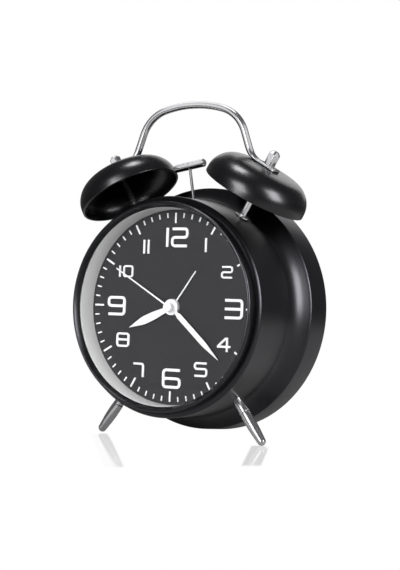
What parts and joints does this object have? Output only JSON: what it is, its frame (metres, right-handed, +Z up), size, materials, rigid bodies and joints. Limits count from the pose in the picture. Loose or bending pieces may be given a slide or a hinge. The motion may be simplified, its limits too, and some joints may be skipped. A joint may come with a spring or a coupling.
{
  "type": "analog alarm clock",
  "caption": "Round free-standing alarm clock with a flared metal case, a bell on each side of a swinging hammer, a carrying handle over them, splayed feet and a setting panel behind.",
  "frame": {"origin": "on the standing surface, under the middle of the clock's width and depth", "axes": "+Z up, +Y from the dial to the back, +X to the right of someone reading the dial; the dial leans back 5 degrees"},
  "size_m": [0.118, 0.0642, 0.1592],
  "materials": {
    "case_paint": "black gloss paint",
    "front_glass": "clear flat glass",
    "ring_grey": "light grey, satin",
    "dial_face": "dark grey, matt",
    "white_trim": "white, satin",
    "bright_metal": "polished",
    "plain_steel": "plain",
    "copper_winding": "enamelled copper wire, drawn as a plain winding",
    "back_plastic": "black, fine texture",
    "knob_plastic": "black, satin",
    "cell_jacket": "plain dark jacket",
    "movement_plastic": "black",
    "wheel_plastic": "off white",
    "soft_iron": "plain",
    "board": "brown"
  },
  "bodies": {
    "clock": {"housing": "case_paint", "front_bezel": "case_paint", "bell_left": "case_paint", "bell_right": "case_paint", "lens": "front_glass", "dial_spacer_ring": "ring_grey", "dial_plate": "dial_face", "dial_numerals": "white_trim", "minute_marks": "white_trim", "bell_post_left": "bright_metal", "bell_post_right": "bright_metal", "cap_nuts": "bright_metal", "handle": "bright_metal", "foot_left": "bright_metal", "foot_right": "bright_metal", "post_nuts": "plain_steel", "foot_nuts": "plain_steel", "hammer_pivot_pin": "plain_steel", "striker_frame": "plain_steel", "striker_yoke": "soft_iron", "striker_coil": "copper_winding", "striker_screws": "plain_steel", "rear_cover": "back_plastic", "cover_screws": "plain_steel", "battery_cell": "cell_jacket", "battery_contact_plus": "plain_steel", "battery_contact_minus": "plain_steel", "switch_body": "back_plastic", "movement_front_plate": "movement_plastic", "movement_nut": "plain_steel", "movement_bridge": "movement_plastic", "movement_case": "movement_plastic", "stator": "soft_iron", "coil": "copper_winding", "circuit_board": "board", "quartz_crystal": "plain_steel"},
    "minute": {"minute_hand": "white_trim", "cannon_pinion": "wheel_plastic"},
    "hour": {"hour_hand": "white_trim", "hour_wheel": "wheel_plastic"},
    "time_setting": {"minute_wheel": "wheel_plastic", "time_set_knob": "knob_plastic"},
    "second": {"second_hand": "white_trim", "second_wheel": "wheel_plastic"},
    "rotor": {"rotor": "wheel_plastic"},
    "fifth": {"fifth_wheel": "wheel_plastic"},
    "third": {"third_wheel": "wheel_plastic"},
    "centre": {"centre_wheel": "wheel_plastic"},
    "alarm_setting": {"alarm_set_knob": "knob_plastic", "alarm_set_wheel": "wheel_plastic"},
    "alarm": {"alarm_hand": "white_trim", "alarm_wheel": "wheel_plastic"},
    "hammer": {"hammer_head": "bright_metal", "hammer_stem": "bright_metal", "hammer_lever": "plain_steel", "hammer_armature": "soft_iron"},
    "switch_button": {"alarm_switch": "knob_plastic"},
    "door": {"battery_door": "back_plastic"}
  },
  "joints": [
    {"name": "minute_spin", "type": "hinge", "parent": "clock", "child": "minute", "pos_m": [0, -0.01422, 0.06236], "axis": [0, 0.9962, -0.0872], "continuous": true},
    {"name": "hour_spin", "type": "hinge", "parent": "clock", "child": "hour", "pos_m": [0, -0.01422, 0.06236], "axis": [0, 0.9962, -0.0872], "continuous": true},
    {"name": "time_setting_spin", "type": "hinge", "parent": "clock", "child": "time_setting", "pos_m": [-0.012, -0.01422, 0.06236], "axis": [0, 0.9962, -0.0872], "continuous": true},
    {"name": "second_spin", "type": "hinge", "parent": "clock", "child": "second", "pos_m": [0, -0.01422, 0.06236], "axis": [0, 0.9962, -0.0872], "continuous": true},
    {"name": "rotor_spin", "type": "hinge", "parent": "clock", "child": "rotor", "pos_m": [0.0054, -0.01574, 0.04499], "axis": [0, 0.9962, -0.0872], "continuous": true},
    {"name": "fifth_spin", "type": "hinge", "parent": "clock", "child": "fifth", "pos_m": [0, -0.01518, 0.0514], "axis": [0, 0.9962, -0.0872], "continuous": true},
    {"name": "third_spin", "type": "hinge", "parent": "clock", "child": "third", "pos_m": [0, -0.01328, 0.07311], "axis": [0, 0.9962, -0.0872], "continuous": true},
    {"name": "centre_spin", "type": "hinge", "parent": "clock", "child": "centre", "pos_m": [0, -0.01422, 0.06236], "axis": [0, 0.9962, -0.0872], "continuous": true},
    {"name": "alarm_setting_spin", "type": "hinge", "parent": "clock", "child": "alarm_setting", "pos_m": [0.012, -0.01422, 0.06236], "axis": [0, 0.9962, -0.0872], "continuous": true},
    {"name": "alarm_spin", "type": "hinge", "parent": "clock", "child": "alarm", "pos_m": [0, -0.01422, 0.06236], "axis": [0, 0.9962, -0.0872], "continuous": true},
    {"name": "hammer_swing", "type": "hinge", "parent": "clock", "child": "hammer", "pos_m": [0, 0.00615, 0.10474], "axis": [0, 0.9962, -0.0872], "range_deg": [0, 20]},
    {"name": "switch_slide", "type": "slide", "parent": "clock", "child": "switch_button", "axis": [1, 0, 0], "range_m": [0, 0.004]},
    {"name": "door_pull", "type": "slide", "parent": "clock", "child": "door", "axis": [0, 0.9962, -0.0872], "range_m": [0, 0.012]}
  ],
  "couplings": [
    {"joint": "hour_spin", "follows": "minute_spin", "ratio": 0.083333},
    {"joint": "time_setting_spin", "follows": "minute_spin", "ratio": -0.33333},
    {"joint": "rotor_spin", "follows": "second_spin", "ratio": 30},
    {"joint": "fifth_spin", "follows": "second_spin", "ratio": -5},
    {"joint": "third_spin", "follows": "second_spin", "ratio": -0.13333},
    {"joint": "centre_spin", "follows": "second_spin", "ratio": 0.016667},
    {"joint": "alarm_spin", "follows": "alarm_setting_spin", "ratio": -0.5}
  ]
}
